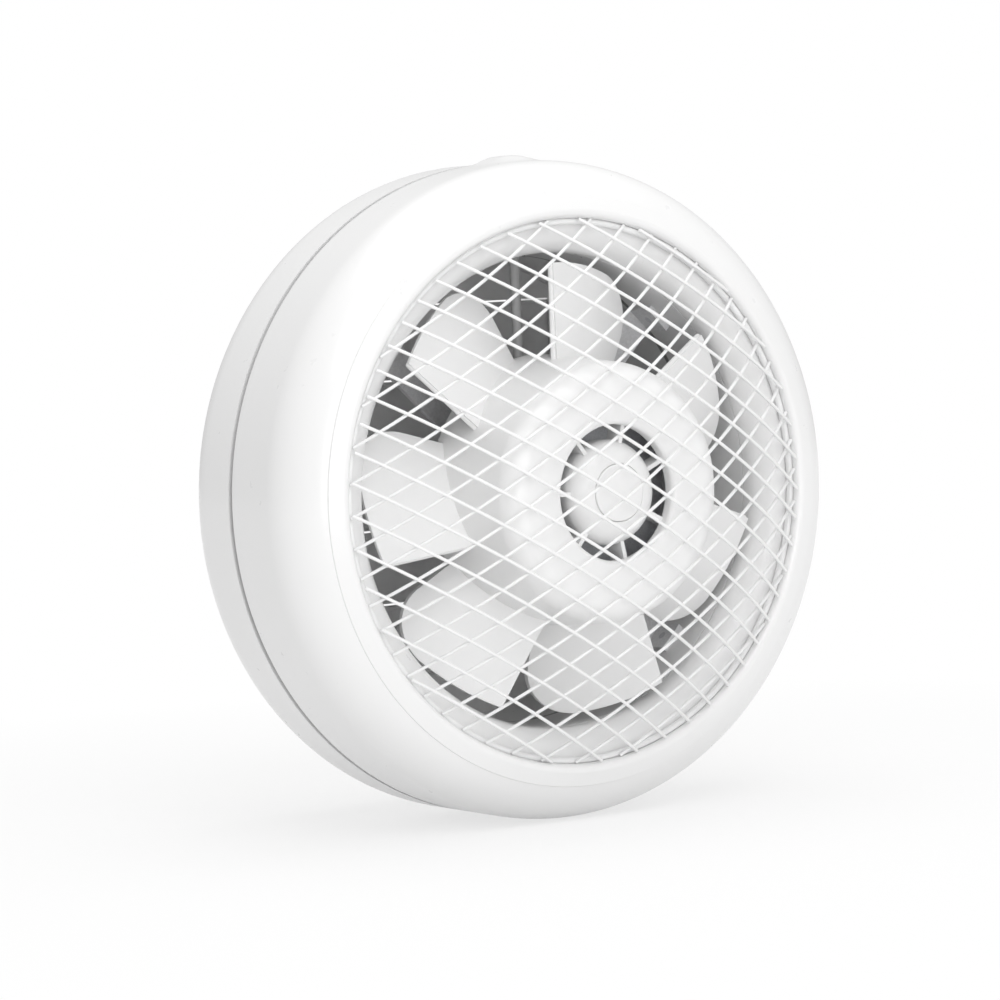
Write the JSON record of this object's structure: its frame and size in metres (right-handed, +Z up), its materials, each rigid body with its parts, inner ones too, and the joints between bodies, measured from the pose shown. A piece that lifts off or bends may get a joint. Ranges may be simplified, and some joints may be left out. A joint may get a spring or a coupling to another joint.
{
  "type": "wall exhaust fan",
  "caption": "Round wall exhaust fan with a puffy two-part casing, a domed wire guard, a bladed impeller on an electric motor, and a gravity shutter in its wall spigot.",
  "frame": {"origin": "centre of the wall face, on the fan's axis", "axes": "+Z up, front faces -Y, air leaves along +Y into the wall"},
  "size_m": [0.3112, 0.196, 0.3147],
  "materials": {
    "casing_plastic": "glossy moulded white plastic",
    "impeller_plastic": "satin moulded white plastic",
    "cap_plastic": "satin moulded white plastic",
    "shutter_plastic": "satin moulded grey plastic",
    "gasket_foam": "black closed-cell foam rubber",
    "guard_wire": "steel wire with a white plastic coat",
    "bracket_paint": "pressed steel with grey paint",
    "motor_case": "die-cast",
    "screw_steel": "zinc-plated steel",
    "core_steel": "stacked electrical steel",
    "winding_copper": "varnished copper wire",
    "bearing_steel": "ground steel",
    "terminal_plastic": "cream moulded plastic",
    "terminal_brass": "plain brass",
    "lead_sheath": "grey flexible sheath",
    "grommet_rubber": "black moulded rubber"
  },
  "bodies": {
    "housing": {"rear_housing": "casing_plastic", "wall_gasket": "gasket_foam", "shutter_frame": "shutter_plastic", "shutter_screws": "screw_steel", "motor_bracket": "bracket_paint", "bracket_screws": "screw_steel", "motor_screws": "screw_steel", "motor_rear_bell": "motor_case", "motor_front_bell": "motor_case", "motor_bolts": "screw_steel", "motor_nuts": "screw_steel", "stator_core": "core_steel", "stator_winding": "winding_copper", "rear_bearing": "bearing_steel", "front_bearing": "bearing_steel", "terminal_block": "terminal_plastic", "terminal_screws": "terminal_brass", "block_screws": "screw_steel", "motor_lead": "lead_sheath", "lead_grommet": "grommet_rubber", "cable_grommet": "grommet_rubber"},
    "rotor": {"rotor_core": "core_steel", "motor_shaft": "bearing_steel", "drive_pin": "screw_steel", "impeller": "impeller_plastic", "impeller_washer": "screw_steel", "impeller_nut": "screw_steel", "hub_cap": "cap_plastic"},
    "cover": {"front_cover": "casing_plastic", "wire_guard": "guard_wire", "guard_hoop": "guard_wire"},
    "flap_1": {"shutter_flap_1": "shutter_plastic"},
    "flap_2": {"shutter_flap_2": "shutter_plastic"},
    "flap_3": {"shutter_flap_3": "shutter_plastic"},
    "flap_4": {"shutter_flap_4": "shutter_plastic"},
    "flap_5": {"shutter_flap_5": "shutter_plastic"}
  },
  "joints": [
    {"name": "impeller_spin", "type": "hinge", "parent": "housing", "child": "rotor", "pos_m": [0, -0.08, 0], "axis": [0, -1, 0], "continuous": true},
    {"name": "cover_pull", "type": "slide", "parent": "housing", "child": "cover", "axis": [0, -1, 0], "range_m": [0, 0.08]},
    {"name": "flap_1_swing", "type": "hinge", "parent": "housing", "child": "flap_1", "pos_m": [0, 0.0015, 0.088], "axis": [1, 0, 0], "range_deg": [0, 80]},
    {"name": "flap_2_swing", "type": "hinge", "parent": "housing", "child": "flap_2", "pos_m": [0, 0.0015, 0.052], "axis": [1, 0, 0], "range_deg": [0, 80]},
    {"name": "flap_3_swing", "type": "hinge", "parent": "housing", "child": "flap_3", "pos_m": [0, 0.0015, 0.016], "axis": [1, 0, 0], "range_deg": [0, 80]},
    {"name": "flap_4_swing", "type": "hinge", "parent": "housing", "child": "flap_4", "pos_m": [0, 0.0015, -0.02], "axis": [1, 0, 0], "range_deg": [0, 80]},
    {"name": "flap_5_swing", "type": "hinge", "parent": "housing", "child": "flap_5", "pos_m": [0, 0.0015, -0.056], "axis": [1, 0, 0], "range_deg": [0, 80]}
  ]
}
